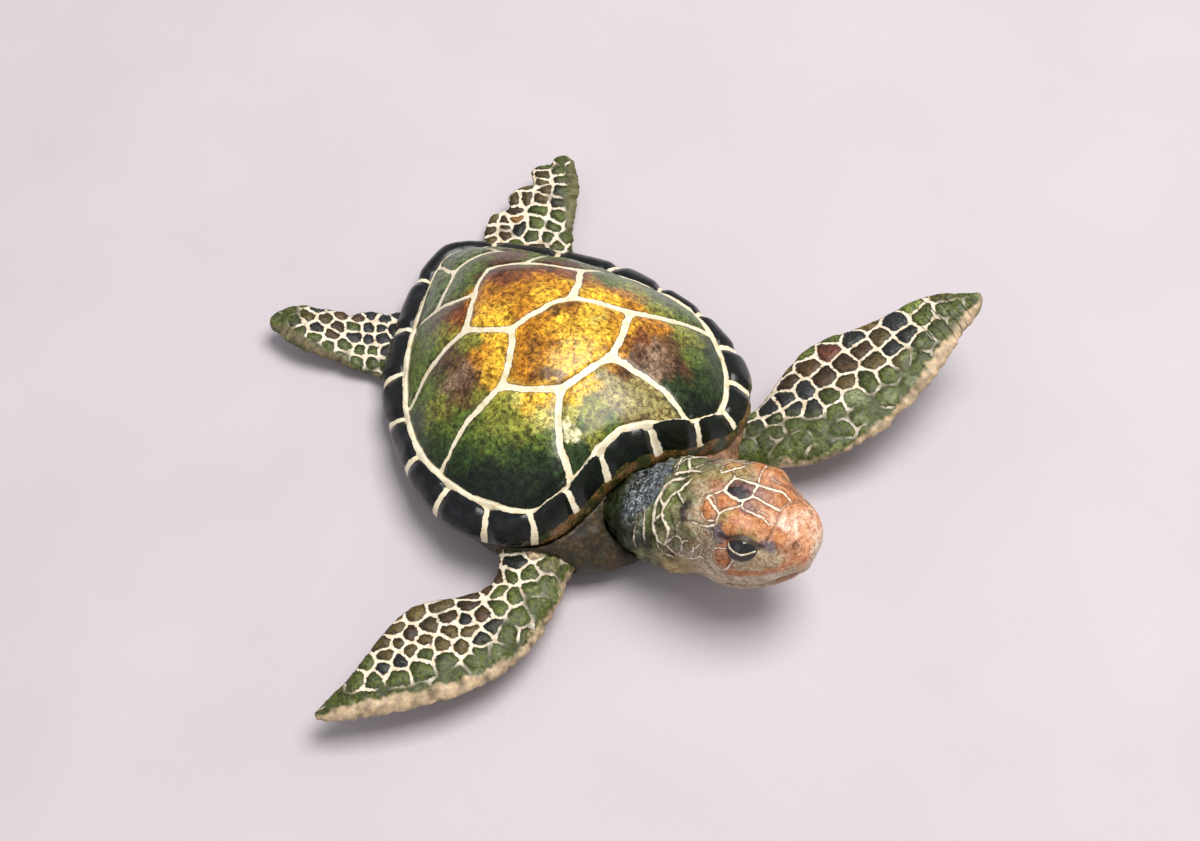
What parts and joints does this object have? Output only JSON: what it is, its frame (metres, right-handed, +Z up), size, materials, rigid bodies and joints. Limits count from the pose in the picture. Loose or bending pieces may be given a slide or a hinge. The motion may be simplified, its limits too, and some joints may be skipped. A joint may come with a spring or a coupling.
{
  "type": "sea turtle figurine",
  "caption": "Small cast sea turtle that rests on its belly, with a plated domed shell, a raised head turned to its left and swept flippers.",
  "frame": {"origin": "on the table plane, in the flat face under the belly, below the middle of the shell", "axes": "+X from the tail towards the neck, +Y to the turtle's own left, +Z up from the table"},
  "size_m": [0.1234, 0.1592, 0.0331],
  "materials": {
    "shell_enamel": "cast resin under sponged green and amber paint and clear gloss varnish",
    "rim_enamel": "cast resin with charcoal green paint and cream ribs under gloss varnish",
    "belly_resin": "cast resin with thin ochre brown wash",
    "skin_paint": "cast resin with olive cells and cream net lines, satin",
    "head_paint": "cast resin with salmon orange plates over pale beige, satin",
    "eye_enamel": "glossy black bead"
  },
  "bodies": {
    "root": {"shell_dome": "shell_enamel", "shell_rim": "rim_enamel", "body": "belly_resin", "head_and_neck": "head_paint", "eye_left": "eye_enamel", "eye_right": "eye_enamel", "front_flipper_left": "skin_paint", "front_flipper_right": "skin_paint", "rear_flipper_left": "skin_paint", "rear_flipper_right": "skin_paint"}
  },
  "joints": []
}
